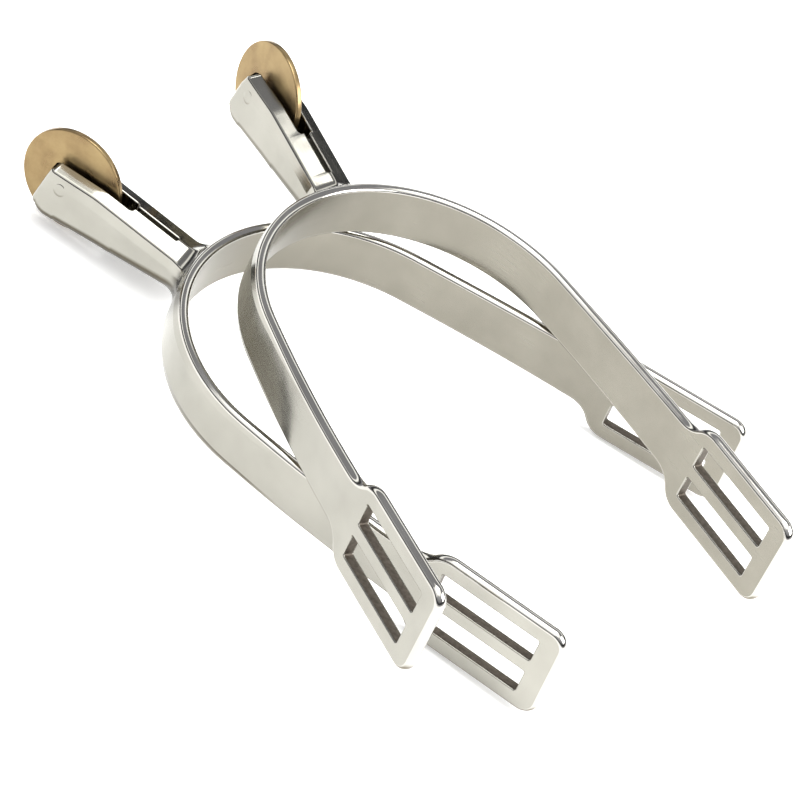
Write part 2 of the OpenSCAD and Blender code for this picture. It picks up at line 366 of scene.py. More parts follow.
def facet_lines():
    """Open lines on the flat strip where the facets meet the flat of the outer face."""
    lines = []
    for w, top in ((FACET_TOP_W, True), (FACET_LOW_W, False)):
        us = spaced(-FACET_LINE_END, FACET_LINE_END, BAND_STEP)
        t, b = edge_heights(us)
        reach = w * facet_fade(us)
        keep = reach > FACET_LEAST_W
        z = t - reach if top else b + reach
        lines.append(np.c_[us, z][keep])
    return lines


def fill_face(loops, lines):
    """Triangles that fill the first loop, leave out the others as holes, and follow the lines."""
    pts, edges = [], []
    for loop in loops:
        base = len(pts)
        pts += [tuple(p) for p in loop]
        edges += [(base + i, base + (i + 1) % len(loop)) for i in range(len(loop))]
    for line in lines:
        base = len(pts)
        pts += [tuple(p) for p in line]
        edges += [(base + i, base + i + 1) for i in range(len(line) - 1)]
    low, high = loops[0].min(axis=0), loops[0].max(axis=0)
    columns, rows = spaced(low[0], high[0], BAND_STEP), spaced(low[1], high[1], ROW_STEP)
    grid = np.stack(np.meshgrid(columns, rows), -1).reshape(-1, 2)
    ok = inside(grid, loops[0]) & (gap_to(grid, loops[0]) > EDGE_CLEAR)
    for hole in loops[1:]:
        ok &= ~inside(grid, hole) & (gap_to(grid, hole) > EDGE_CLEAR)
    for line in lines:
        ok &= gap_to(grid, line) > LINE_CLEAR
    pts += [tuple(p) for p in grid[ok]]
    verts, _, faces, _, _, _ = delaunay_2d_cdt([Vector(p) for p in pts], edges, [], 0, 1e-5)
    verts = np.array([tuple(v) for v in verts])
    faces = np.array([tuple(f) for f in faces])
    mid = verts[faces].mean(axis=1)
    keep = inside(mid, loops[0])
    for hole in loops[1:]:
        keep &= ~inside(mid, hole)
    faces = faces[keep]
    a, b, c = (verts[faces[:, i]] for i in range(3))
    turn = (b[:, 0] - a[:, 0]) * (c[:, 1] - a[:, 1]) - (c[:, 0] - a[:, 0]) * (b[:, 1] - a[:, 1])
    faces[turn < 0] = faces[turn < 0][:, ::-1]
    return verts, faces


class FlatStrip:
    """Groups of faces on the flat strip, each with its corner normals and its finish."""

    def __init__(self):
        self.points, self.groups, self.size = [], [], 0

    def add(self, points):
        """Takes points (u, z, n) and gives the number of the first."""
        base = self.size
        self.points.append(points)
        self.size += len(points)
        return base

    def outer(self, loops):
        """The outer broad face, with its facets."""
        verts, tris = fill_face(loops, facet_lines())
        base = self.add(np.c_[verts, outer_face(verts[:, 0], verts[:, 1])])
        mid = verts[tris].mean(axis=1)
        near = verts[tris] * (1 - INWARD) + mid[:, None] * INWARD
        normals = np.stack([outer_normals(near[:, k, 0], near[:, k, 1]) for k in range(3)], 1)
        self.groups.append((tris + base, normals, POLISHED))

    def inner(self, loops):
        """The plain inner broad face."""
        verts, tris = fill_face(loops, [])
        base = self.add(np.c_[verts, np.full(len(verts), -STRIP_T / 2)])
        normals = np.tile([0, 0, -1.0], (len(tris), 3, 1))
        # the inner face takes the satin steel, its darker colour painted shade
        self.groups.append((tris[:, ::-1] + base, normals, SATIN_SHADED))

    def rim(self, loop, way, r_out, r_in, crowned):
        """The wall between the broad faces: a full crown, or a slot's wall with two rounded edges."""
        at = loop + way * r_out
        face_n = outer_face(at[:, 0], at[:, 1])
        reach_out = face_n if crowned else np.full(len(loop), r_out)
        reach_in = STRIP_T / 2 if crowned else r_in
        rings, normals = [], []
        for a in np.linspace(0, math.pi / 2, ROUND_STEPS + 1):
            n = face_n - reach_out * (1 - math.cos(a))
            rings.append(np.c_[loop + way * r_out * (1 - math.sin(a)), n])
            normals.append(np.c_[-way * math.sin(a) / r_out, math.cos(a) / reach_out])
        # a crown's two halves meet in one ring; a slot's wall lies between two
        for a in np.linspace(math.pi / 2, 0, ROUND_STEPS + 1)[int(crowned):]:
            n = np.full(len(loop), -STRIP_T / 2 + reach_in * (1 - math.cos(a)))
            rings.append(np.c_[loop + way * r_in * (1 - math.sin(a)), n])
            normals.append(np.c_[-way * math.sin(a) / r_in, np.full(len(loop), -math.cos(a) / reach_in)])
        normals = [n / np.linalg.norm(n, axis=1)[:, None] for n in normals]
        bases = [self.add(ring) for ring in rings]
        i = np.arange(len(loop))
        j = (i + 1) % len(loop)
        for step, (b0, b1, n0, n1) in enumerate(zip(bases, bases[1:], normals, normals[1:])):
            quad = np.stack([b0 + i, b1 + i, b1 + j, b0 + j], 1)
            corners = np.stack([n0[i], n1[i], n1[j], n0[j]], 1)
            if not crowned:
                quad, corners = quad[:, ::-1], corners[:, ::-1]
            # a crown takes the edge steel, lightened as painted highlight; a slot wall's middle strip takes
            # the wall steel, darkened as painted shade
            finish = EDGE if crowned else RAW_SHADED if step == ROUND_STEPS else POLISHED
            self.groups.append((quad, corners, finish))

    def build(self, name):
        """The strip bent onto the spur, as one closed skin."""
        flat = np.vstack(self.points)
        faces, normals, finish = [], [], []
        for group, corners, kind in self.groups:
            # the flat strip's axes are left-handed on the spur, so every face turns over
            group, corners = group[:, ::-1], corners[:, ::-1]
            normals.append(bent_normals(flat[group].reshape(-1, 3), corners.reshape(-1, 3)))
            faces += [tuple(int(i) for i in f) for f in group]
            finish += [kind] * len(group)
        uvs = [(p[0] * MM, p[1] * MM) for p in flat]
        return welded(name, bent_points(flat), faces, np.vstack(normals), uvs, finish)


def build_band(name):
    """The heel band: a strip cut to its outline and slotted flat, then bent to the heel."""
    half = half_outline()
    outline = clean_loop(half + [(-u, z) for u, z in half[::-1]])
    slots = [slot_outline(side, up) for side in (-1, 1) for up in (-1, 1)]
    # a loop, its way into the metal, and how far its rounding takes up the outer and the inner face
    rims = [(outline, left_normals(outline), RIM_OUT_R, RIM_IN_R)]
    rims += [(slot, -left_normals(slot), SLOT_RIM_R, SLOT_RIM_R) for slot in slots]
    strip = FlatStrip()
    strip.outer([loop + way * r_out for loop, way, r_out, _ in rims])
    strip.inner([loop + way * r_in for loop, way, _, r_in in rims])
    for rim in rims:
        strip.rim(*rim, crowned=rim is rims[0])
    return strip.build(name)


def welded(name, verts, faces, corner_normals, uvs, finish):
    """Merges points that fall together, so the piece is one closed skin.

    finish holds the number of each face's material.
    """
    key, index, kept = {}, [], []
    for v in verts:
        k = tuple(np.round(v, 4))
        if k not in key:
            key[k] = len(kept)
            kept.append(v)
        index.append(key[k])
    new_faces, normals, corner_uv, kinds, at = [], [], [], [], 0
    for f, kind in zip(faces, finish):
        g = [index[i] for i in f]
        cn = corner_normals[at:at + len(f)]
        cu = [uvs[i] for i in f]
        at += len(f)
        use = [k for k in range(len(g)) if g[k] != g[k - 1]]
        if len(use) < 3:
            continue
        new_faces.append([g[k] for k in use])
        kinds.append(kind)
        normals += [cn[k] for k in use]
        corner_uv += [cu[k] for k in use]
    obj = make_object(name, kept, new_faces, normals)
    layer = obj.data.uv_layers.new(name="UVMap")
    layer.data.foreach_set("uv", [c for uv in corner_uv for c in uv])
    obj.data.polygons.foreach_set("material_index", kinds)
    return obj


# ---------------------------------------------------------------- neck

FLARE_X = HEEL_R - math.sqrt((OUTER_R + ROOT_FILLET_R) ** 2 - (NECK_W / 2 + ROOT_FILLET_R) ** 2)
ROOT_OVERLAP, SOLID_WALL = 0.8, 1.0          # the neck's reach into the band, and its unseen inner wall
BEND_ONSET = 1.5                             # how fast the sections take up the band's curve
TOP_BLEND, BLEND_END = 3.2, 0.985            # fillet between the neck's top and the band, and the share used
BRINK_R, CREST_R, BELLY_R = 0.3, 0.8, 2.0    # roundings by the slot, along the top and below the facet
BRINK_STEPS, EDGE_STEPS, BELLY_STEPS = 4, 8, 4
BRINK = BRINK_STEPS + 1                      # place in a section where the rounding by the slot ends
LOW_EDGE_SHARE, LOW_EDGE_CLEAR = 0.8, 0.05   # limits of the lower edge's rounding, in height and in width
TIP_LOW_R, ROOT_LOW_R = 2.4, 4.6
BEFORE_SHARE, AFTER_SHARE = 0.9, 0.95        # how much of the sides next to a corner its rounding may take
SLOT_ROUND = 1.2                             # length over which the slot opens out of the groove
SLOT_STEPS, BREAK_STEP = 21, 0.005
ROOT_STEP, BODY_STEP, ARM_STEP = 0.2, 0.5, 1.0
LEAST_STEP, LEAST_AREA = 0.08, 1e-7          # least distance between two sections, and least face
TIP_ROUND, TIP_START_X, TIP_STEP = 1.1, -30.4, 0.7
TIP_LOW_GAP, TIP_TOP_GAP = 0.5, 0.4          # from TIP_START_X to the first leaning section
TIP_TURN, TIP_TURN_STEPS = 215, 8            # angle at which the tip's lower corner ends


def neck_top(x):
    """Height of the neck's top flat."""
    d = -x
    rise = NECK_ROOT_Z + (NECK_CREST_Z - NECK_ROOT_Z) * min(d, NECK_CREST_X) / NECK_CREST_X
    return rise - TIP_FALL * max(0.0, d - NECK_CREST_X)


def neck_low(x):
    """Height of the neck's underside."""
    return -NECK_ROOT_LOW - (NECK_TIP_LOW - NECK_ROOT_LOW) * (-x) / NECK_L


def low_edge_radius(x):
    """Rounding of the lower edges: nearly square at the tip, fully round at the root."""
    return TIP_LOW_R + (ROOT_LOW_R - TIP_LOW_R) * max(0.0, 1 + x / NECK_L)


def rounded(before, corner, after, r, steps):
    """Points and outward normals that round a corner of an outline with radius r."""
    b, c, a = (np.array(p, float) for p in (before, corner, after))
    u, v = (b - c) / np.linalg.norm(b - c), (a - c) / np.linalg.norm(a - c)
    half = math.acos(max(-1.0, min(1.0, float(u @ v)))) / 2
    reach = min(r / math.tan(half), BEFORE_SHARE * math.dist(b, c), AFTER_SHARE * math.dist(a, c))
    r = reach * math.tan(half)
    centre = c + (u + v) / np.linalg.norm(u + v) * (r / math.sin(half))
    p0, p1 = c + u * reach - centre, c + v * reach - centre
    out = []
    for w in np.linspace(0, 1, steps + 1):
        d = p0 * (1 - w) + p1 * w
        d /= np.linalg.norm(d)
        out.append((centre + d * r, d))
    return out


def arm_section(half_w, height, slot_half, wall, edge_r):
    """Points (y, v) and normals from the foot of an arm's inner wall, over its top, to its underside."""
    top_half = half_w - (NECK_W - NECK_TOP_W) / 2
    slope = CROWN_DROP / (NECK_TOP_W / 2 - FORK_W / 2)
    brink = (slot_half, height + slope * (FORK_W / 2 - slot_half))
    crest, belly = (top_half, height - slope * (top_half - FORK_W / 2)), (half_w, height - FACET_H)
    foot = (slot_half, min(wall, brink[1] - 2 * BRINK_R))
    keel, heart = (half_w, 0.0), (slot_half, 0.0)
    edge_r = min(edge_r, (height - FACET_H) * LOW_EDGE_SHARE, half_w - slot_half - LOW_EDGE_CLEAR)
    out = [(np.array(foot), np.array((-1.0, 0.0)))]
    out += rounded(foot, brink, crest, BRINK_R, BRINK_STEPS)
    out += rounded(brink, crest, belly, CREST_R, EDGE_STEPS)
    out += rounded(crest, belly, keel, BELLY_R, BELLY_STEPS)
    out += rounded(belly, keel, heart, edge_r, EDGE_STEPS)
    out.append((np.array(heart), np.array((0.0, -1.0))))
    return out


def neck_ring(top, low, half_w, slot_half, wall, edge_r, bend=0.0):
    """One arm's section between a top and a low point of the side view, bent round the band near it."""
    top, low = np.array(top, float), np.array(low, float)
    height = math.dist(top, low)
    up = (top - low) / height
    points, normals = [], []
    for (y, v), (ny, nv) in arm_section(half_w, height, slot_half, wall, edge_r):
        x, z = low + up * v
        points.append((x + bend * (OUTER_R - math.sqrt(OUTER_R**2 - y * y)), y, z))
        normals.append((up[0] * nv, ny, up[1] * nv))
    return np.array(points), np.array(normals)


def slot_break():
    """Where the slotting cut comes out of the underside."""
    x = -ROWEL_BACK + FORK_CUT_R
    while ROWEL_Z - math.sqrt(max(0, FORK_CUT_R**2 - (x + ROWEL_BACK) ** 2)) > neck_low(x):
        x -= BREAK_STEP
    return x


def neck_stations():
    """Places of the sections from the band to the tip: x, half the slot's width, height of its floor."""
    slot_half, groove_half = FORK_W / 2, GROOVE_W / 2
    groove_mid, break_x = -GROOVE_END - groove_half, slot_break()
    cut_top = neck_top(-ROWEL_BACK + FORK_CUT_R)
    cut_x = -ROWEL_BACK + math.sqrt(FORK_CUT_R**2 - (cut_top - ROWEL_Z) ** 2)
    places = [(x, 0.0, None) for x in [BACK_X + ROOT_OVERLAP, *spaced(BACK_X, FLARE_X, ROOT_STEP)]]
    places += [(x, 0.0, None) for x in spaced(FLARE_X, -GROOVE_END, BODY_STEP)]
    for a in np.radians((25, 45, 65, 90)):
        x = groove_mid + groove_half * math.cos(a)
        places.append((x, groove_half * math.sin(a), neck_top(x) - GROOVE_DEPTH))
    groove_xs = spaced(groove_mid, cut_x, ARM_STEP)
    places += [(x, groove_half, neck_top(x) - GROOVE_DEPTH) for x in groove_xs]
    start = math.asin((cut_top - GROOVE_DEPTH - ROWEL_Z) / FORK_CUT_R)
    stop = -math.acos((break_x + ROWEL_BACK) / FORK_CUT_R)
    for a in np.linspace(start, stop, SLOT_STEPS + 1)[1:]:
        # the slot's end is rounded in plan, from the groove's width to its own
        x = min(-ROWEL_BACK + FORK_CUT_R * math.cos(a), places[-1][0] - LEAST_STEP)
        run = min(max(0.0, (cut_x - x) / SLOT_ROUND), 1.0)
        half = groove_half + (slot_half - groove_half) * math.sqrt(1 - (1 - run) ** 2)
        places.append((x, half, ROWEL_Z + FORK_CUT_R * math.sin(a)))
    places += [(x, slot_half, None) for x in spaced(break_x, TIP_START_X, ARM_STEP)[1:]]
    out = places[:1]
    for x, half, floor in places[1:]:
        last_x, last_half, last_floor = out[-1]
        if x > last_x - LEAST_STEP and (half, floor) == (last_half, last_floor):
            continue
        out.append((min(x, last_x - LEAST_STEP), half, floor))
    return out


def neck_rings():
    """All sections of one arm, each as (points, normals), and the kind of each one."""
    touch = (NECK_W / 2 + ROOT_FILLET_R) * OUTER_R / (OUTER_R + ROOT_FILLET_R)
    full_run = math.sqrt(ROOT_FILLET_R**2 - (NECK_W / 2 + ROOT_FILLET_R - touch) ** 2)
    rings, kinds = [], []
    for x, slot_half, floor in neck_stations():
        near = min(max(0.0, (x - FLARE_X) / (BACK_X - FLARE_X)), 1.0)
        half_w = NECK_W / 2 + ROOT_FILLET_R - math.sqrt(ROOT_FILLET_R**2 - (near * full_run) ** 2)
        lift = min(max(0.0, x - BACK_X + TOP_BLEND), TOP_BLEND * BLEND_END)
        high = neck_top(min(x, 0)) + TOP_BLEND - math.sqrt(TOP_BLEND**2 - lift * lift)
        low = neck_low(min(x, 0))
        if slot_half == 0:
            kind, wall = "solid", high - low - SOLID_WALL
        elif floor is None:
            kind, wall = "arm", 0.0
        else:
            kind, wall = "groove", floor - low
        bend = min(1.0, near * BEND_ONSET)
        rings.append(neck_ring((x, high), (x, low), half_w, slot_half, wall, low_edge_radius(x), bend))
        kinds.append(kind)

    # the tip: the sections lean back, and its lower corner is rounded
    cx = -NECK_L + NECK_EDGE_R
    cz = neck_low(cx) + NECK_EDGE_R
    path = [(x, neck_low(x)) for x in spaced(TIP_START_X - TIP_LOW_GAP, cx, TIP_STEP)]
    path += arc(cx, cz, NECK_EDGE_R, 270, TIP_TURN, TIP_TURN_STEPS)[1:]
    tops = np.linspace(TIP_START_X - TIP_TOP_GAP, -NECK_L + TIP_SLANT + TIP_ROUND, len(path))
    for x, low in zip(tops, path):
        rings.append(neck_ring((x, neck_top(x)), low, NECK_W / 2, FORK_W / 2, 0.0, TIP_LOW_R))
        kinds.append("arm")
    return rings, kinds


class Skin:
    """Collects faces with their corner normals, turning each one to face along its normals."""

    def __init__(self):
        self.points, self.faces, self.normals = [], [], []

    def face(self, points, normals):
        points, normals = [np.array(p, float) for p in points], [np.array(n, float) for n in normals]
        area = sum(np.cross(p, q) for p, q in zip(points, points[1:] + points[:1]))
        if np.linalg.norm(area) < LEAST_AREA:
            return
        if float(area @ sum(normals)) < 0:
            points, normals = points[::-1], normals[::-1]
        base = len(self.points)
        self.points += points
        self.faces.append(range(base, base + len(points)))
        self.normals += [n / np.linalg.norm(n) for n in normals]

    def quad(self, a, b, c, d):
        """A face between four (point, normal) pairs."""
        self.face([a[0], b[0], c[0], d[0]], [a[1], b[1], c[1], d[1]])

    def build(self, name):
        uvs = [(p[0] * MM, (p[1] + p[2]) * MM) for p in self.points]
        return welded(name, self.points, self.faces, self.normals, uvs, [0] * len(self.faces))


def close_tip(skin, points, normals):
    """The rounded end of an arm, inside its last section."""
    side = points[-2] - points[BRINK + EDGE_STEPS // 2]
    plane = np.cross((0.0, 1.0, 0.0), (side[0], 0.0, side[2]))
    plane /= np.linalg.norm(plane)
    if plane[0] > 0:
        plane = -plane
    out = normals - np.outer(normals @ plane, plane)
    out /= np.linalg.norm(out, axis=1)[:, None]
    # the loop runs from the wall's foot round to the underside; its two ends share one corner
    rows = []
    for a in np.linspace(0, math.pi / 2, ROUND_STEPS + 1):
        pull = TIP_ROUND * (1 - math.cos(a))
        inner = points - out * pull
        inner[0] -= out[-1] * pull
        inner[-1] -= out[0] * pull
        rows.append((inner + plane * TIP_ROUND * math.sin(a), out * math.cos(a) + plane * math.sin(a)))
    size = len(points)
    for (p0, n0), (p1, n1) in zip(rows, rows[1:]):
        for i in range(size - 1):
            skin.quad((p0[i], n0[i]), (p0[i + 1], n0[i + 1]), (p1[i + 1], n1[i + 1]), (p1[i], n1[i]))
    skin.face(list(rows[-1][0][:-1]), [plane] * (size - 1))


def arm_grid(rings, side):
    """Points and normals of one arm's sections, the normals square to its run; side is 1 or -1."""
    mirror = np.array((1.0, side, 1.0))
    grid = np.array([points for points, _ in rings]) * mirror
    flat = np.array([normals for _, normals in rings]) * mirror
    along = np.concatenate([grid[1:], grid[-1:]]) - np.concatenate([grid[:1], grid[:-1]])
    along /= np.linalg.norm(along, axis=2)[:, :, None]
    normals = flat - along * np.sum(along * flat, axis=2)[:, :, None]
    return grid, normals / np.linalg.norm(normals, axis=2)[:, :, None]


def add_arm(skin, grid, normals, kinds):
    """One arm's own surface: its walls, its tip and the wall where the groove starts."""
    for k, kind in enumerate(kinds[:-1]):
        for i in range(BRINK if kind == "solid" else 0, grid.shape[1] - 1):
            corners = [(k, i), (k, i + 1), (k + 1, i + 1), (k + 1, i)]
            skin.quad(*((grid[c], normals[c]) for c in corners))
    close_tip(skin, grid[-1], normals[-1])
    start = kinds.index("groove")
    skin.face(grid[start, :BRINK + 1], [(-1.0, 0.0, 0.0)] * (BRINK + 1))


def add_bridges(skin, grid, normals, kinds):
    """From an arm to the middle of the neck: the solid top, the slot's floor and the underside."""
    middle = np.array((1.0, 0.0, 1.0))
    for k, kind in enumerate(kinds[:-1]):
        if kind == "arm":
            continue
        for i in (BRINK if kind == "solid" else 0, -1):
            a, b = grid[k, i], grid[k + 1, i]
            na, nb = normals[k, i], normals[k + 1, i]
            if i == 0:
                # the floor faces up, square to its run
                run = b - a
                na = nb = np.array((-run[2], 0.0, run[0])) * (-1 if run[0] < 0 else 1)
            skin.quad((a, na), (b, nb), (b * middle, nb * middle), (a * middle, na * middle))


def build_neck(name):
    """The forked neck, skinned over sections that run from inside the band to the tip."""
    rings, kinds = neck_rings()
    skin = Skin()
    for side in (1, -1):
        grid, normals = arm_grid(rings, side)
        add_arm(skin, grid, normals, kinds)
        add_bridges(skin, grid, normals, kinds)
    # the closed start inside the band
    first = rings[0][0][BRINK:]
    skin.face([*first, *(first[::-1] * (1.0, -1.0, 1.0))], [(1.0, 0.0, 0.0)] * 2 * len(first))
    return skin.build(name)


WELD = 0.001 * MM
SHARP_ANGLE = 40


def tidy_mesh(obj):
    """Welds a mesh, drops faces without area and makes its normals point outwards."""
    bm = bmesh.new()
    bm.from_mesh(obj.data)
    bmesh.ops.remove_doubles(bm, verts=bm.verts, dist=WELD)
    bmesh.ops.dissolve_degenerate(bm, edges=bm.edges, dist=WELD)
    bmesh.ops.recalc_face_normals(bm, faces=bm.faces)
    for f in bm.faces:
        f.smooth = True
    bm.to_mesh(obj.data)
    bm.free()


def shade_by_angle(obj):
    """Smooth shading that breaks at sharp edges, with broad faces kept flat."""
    obj.data.set_sharp_from_angle(angle=math.radians(SHARP_ANGLE))
    mod = obj.modifiers.new("even_shading", "WEIGHTED_NORMAL")
    mod.mode = "FACE_AREA"
    mod.weight = 50
    mod.keep_sharp = True


# ---------------------------------------------------------------- rowel and pin

def lathe(name, profile, steps, at):
    """Turns a closed (radius, y) profile about the line along Y through a point."""
    verts, faces, uvs = [], [], []
    size = len(profile)
    for k in range(steps):
        a = 2 * math.pi * k / steps
        for r, y in profile:
            verts.append((at[0] + r * math.cos(a), at[1] + y, at[2] + r * math.sin(a)))
            uvs.append((r * MM, y * MM))
    for k in range(steps):
        b0, b1 = k * size, (k + 1) % steps * size
        for i in range(size):
            j = (i + 1) % size
            faces.append((b0 + i, b0 + j, b1 + j, b1 + i))
    obj = make_object(name, verts, faces, uvs=uvs)
    tidy_mesh(obj)
    return obj


def build_rowel(name):
    """A flat disc with a rounded rim and a bore with worn edges."""
    half, bore = ROWEL_T / 2, PIN_R + PIN_CLEARANCE
    rim, wear = 0.3, 0.15
    face = (bore + wear, 4.0, 7.5)           # radii of the points across each face
    profile = [(radius, -half) for radius in face]
    profile += arc(ROWEL_R - rim, -half + rim, rim, 270, 360, 6)
    profile += arc(ROWEL_R - rim, half - rim, rim, 0, 90, 6)
    profile += [(radius, half) for radius in face[::-1]]
    profile += [(bore, half - wear), (bore, -half + wear)]
    obj = lathe(name, profile, 160, (-ROWEL_BACK, 0, ROWEL_Z))
    shade_by_angle(obj)
    return obj


def build_pin(name):
    """A plain pin whose ends are dressed flush with the slanted sides of the arms."""
    verts, faces = [], []
    steps, rings = 48, (0.0, 0.5, 0.9, 1.0)
    proud, sunk = 0.006, 0.06                # the end stands proud; its rim falls by the second value
    facet_foot = neck_top(-ROWEL_BACK) - FACET_H
    facet_slope = (NECK_W - NECK_TOP_W) / 2 / (FACET_H - CROWN_DROP)
    for side in (1, -1):
        base = len(verts)
        for w in rings:
            for k in range(steps):
                a = 2 * math.pi * k / steps
                x, z = PIN_R * w * math.cos(a), PIN_R * w * math.sin(a)
                up = max(0.0, ROWEL_Z + z - facet_foot)
                end = proud if w < 1 else proud - sunk
                y = NECK_W / 2 - up * facet_slope + end
                verts.append((-ROWEL_BACK + x, side * y, ROWEL_Z + z))
        for r in range(len(rings) - 1):
            for k in range(steps):
                j = (k + 1) % steps
                a, b = base + r * steps, base + (r + 1) * steps
                faces.append((a + k, a + j, b + j, b + k))
    last = (len(rings) - 1) * steps
    other = len(verts) // 2 + last
    for k in range(steps):
        j = (k + 1) % steps
        faces.append((last + k, last + j, other + j, other + k))
    obj = make_object(name, verts, faces)
    tidy_mesh(obj)
    shade_by_angle(obj)
    return obj


# ---------------------------------------------------------------- materials

class Nodes:
    """A few short words for building a node material."""

    def __init__(self, name):
        self.material = bpy.data.materials.new(name)
        self.material.use_nodes = True
        self.tree = self.material.node_tree
        self.shader = self.tree.nodes["Principled BSDF"]

    def add(self, kind, **values):
        node = self.tree.nodes.new(kind)
        for key, value in values.items():
            if key in node.inputs:
                node.inputs[key].default_value = value
            else:
                setattr(node, key, value)
        return node

    def link(self, a, b):
        self.tree.links.new(a, b)

    def stretched(self, scale, source="Object"):
        """Texture coordinates scaled along each axis."""
        coords = self.add("ShaderNodeTexCoord")
        mapping = self.add("ShaderNodeMapping")
        mapping.inputs["Scale"].default_value = scale
        self.link(coords.outputs[source], mapping.inputs["Vector"])
        return mapping.outputs["Vector"]

    def noise(self, vector, scale, detail=4.0, rough=0.55):
        node = self.add("ShaderNodeTexNoise", Scale=scale, Detail=detail, Roughness=rough)
        self.link(vector, node.inputs["Vector"])
        return node.outputs["Fac"]

    def spread(self, value, low, high, from_low=0.3, from_high=0.7):
        node = self.add("ShaderNodeMapRange")
        for key, v in (("From Min", from_low), ("From Max", from_high), ("To Min", low), ("To Max", high)):
            node.inputs[key].default_value = v
        self.link(value, node.inputs["Value"])
        return node.outputs["Result"]

    def ramp(self, value, stops):
        node = self.add("ShaderNodeValToRGB")
        ramp = node.color_ramp
        while len(ramp.elements) < len(stops):
            ramp.elements.new(0.5)
        for element, (at, color) in zip(ramp.elements, stops):
            element.position = at
            element.color = (*color, 1)
        self.link(value, node.inputs["Fac"])
        return node.outputs["Color"]

    def math(self, how, a, b):
        node = self.add("ShaderNodeMath", operation=how)
        for socket, v in zip(node.inputs, (a, b)):
            if isinstance(v, (int, float)):
                socket.default_value = v
            else:
                self.link(v, socket)
        return node.outputs[0]

    def bump(self, height, strength, distance, below=None):
        node = self.add("ShaderNodeBump", Strength=strength, Distance=distance)
        self.link(height, node.inputs["Height"])
        if below is not None:
            self.link(below, node.inputs["Normal"])
        return node.outputs["Normal"]


# Tints of the steel's clouds, darkest and lightest, and the factor of painted shade on its underside
POLISHED_TINTS = (0.325, 0.315, 0.28), (0.375, 0.363, 0.325)
# the edge tints are lighter than the faces' to paint highlights along the rims; the rims' lower roughness is
# their polish
EDGE_HIGHLIGHT_TINTS = (0.47, 0.455, 0.42), (0.53, 0.515, 0.48)
# the satin tints are darker than the polished ones to paint shade on the inner faces; the higher roughness
# is the satin finish
SATIN_SHADE_TINTS = (0.225, 0.212, 0.178), (0.265, 0.25, 0.212)
UNDERSIDE_SHADE_TINT = (0.33, 0.30, 0.24)

# Scales of the polishing lines, which run along a piece
BAND_LINES, NECK_LINES, PIN_LINES = (60, 2600, 1), (80, 2400, 1), (900, 900, 900)


def steel(name, lines_source, lines_scale, tints=POLISHED_TINTS, dull=0.0):
    """Stainless steel: a warm tint, faint clouds, fine polishing lines and painted shade darkening the faces
    underneath.
    """
    m = Nodes(name)
    s = m.shader.inputs
    s["Metallic"].default_value = 1.0
    clouds = m.noise(m.stretched((1, 1, 1)), 90, 3)
    split = m.add("ShaderNodeSeparateXYZ")
    m.link(m.add("ShaderNodeTexCoord").outputs["Normal"], split.inputs[0])
    # painted shade: faces turned downwards are darkened by the height of their object-space normal
    under = m.spread(split.outputs["Z"], 0.0, 1.0, -0.26, -0.03)
    # in a colour mix, input 0 is the factor, 6 and 7 are the colours and output 2 is the result
    tint = m.add("ShaderNodeMix", data_type="RGBA", blend_type="MULTIPLY", clamp_factor=False)
    tint.inputs[0].default_value = 1.0
    m.link(m.ramp(clouds, [(0.3, tints[0]), (0.7, tints[1])]), tint.inputs[6])
    m.link(m.ramp(under, [(0.0, UNDERSIDE_SHADE_TINT), (1.0, (1.0, 1.0, 1.0))]), tint.inputs[7])
    m.link(tint.outputs[2], s["Base Color"])
    lines = m.noise(m.stretched(lines_scale, lines_source), 1.0, 3, 0.6)
    rough = m.math("ADD", m.spread(clouds, 0.08 + dull, 0.12 + dull), m.spread(lines, 0.0, 0.05))
    m.link(rough, s["Roughness"])
    waves = m.noise(m.stretched((1, 1, 1)), 120, 1)
    normal = m.bump(waves, 0.12, 0.0006)
    m.link(m.bump(lines, 0.10, 0.00004, normal), s["Normal"])
    return m.material


def dull_steel_with_painted_shade(name):
    """The unpolished walls of the strap slots: dull metal with a fine cast grain, its dark colour painted
    shade.
    """
    m = Nodes(name)
    s = m.shader.inputs
    s["Metallic"].default_value = 0.75
    grain = m.noise(m.stretched((1, 1, 1)), 1400, 4)
    # the near-black base colour is painted shade inside the slots; the grain and high roughness are the
    # unpolished wall
    m.link(m.ramp(grain, [(0.35, (0.075, 0.062, 0.048)), (0.65, (0.13, 0.11, 0.088))]), s["Base Color"])
    m.link(m.spread(grain, 0.42, 0.58), s["Roughness"])
    m.link(m.bump(grain, 0.25, 0.00005), s["Normal"])
    return m.material


def brass(name):
    """Satin brass: turned rings about the rowel's pin, warm clouds and slight tarnish."""
    m = Nodes(name)
    s = m.shader.inputs
    s["Metallic"].default_value = 1.0
    coords = m.add("ShaderNodeTexCoord")
    split = m.add("ShaderNodeSeparateXYZ")
    m.link(coords.outputs["UV"], split.inputs[0])
    rings = m.add("ShaderNodeTexNoise", noise_dimensions="1D", Scale=2600.0, Detail=3.0)
    m.link(split.outputs["X"], rings.inputs["W"])
    clouds = m.noise(m.stretched((1, 1, 1)), 160, 4)
    color = m.ramp(clouds, [(0.3, (0.21, 0.142, 0.072)), (0.7, (0.34, 0.25, 0.125))])
    m.link(color, s["Base Color"])
    rough = m.math("ADD", m.spread(clouds, 0.24, 0.34), m.spread(rings.outputs["Fac"], 0.0, 0.06))
    m.link(rough, s["Roughness"])
    m.link(m.bump(rings.outputs["Fac"], 0.15, 0.00004), s["Normal"])
    return m.material


# ---------------------------------------------------------------- building the pair

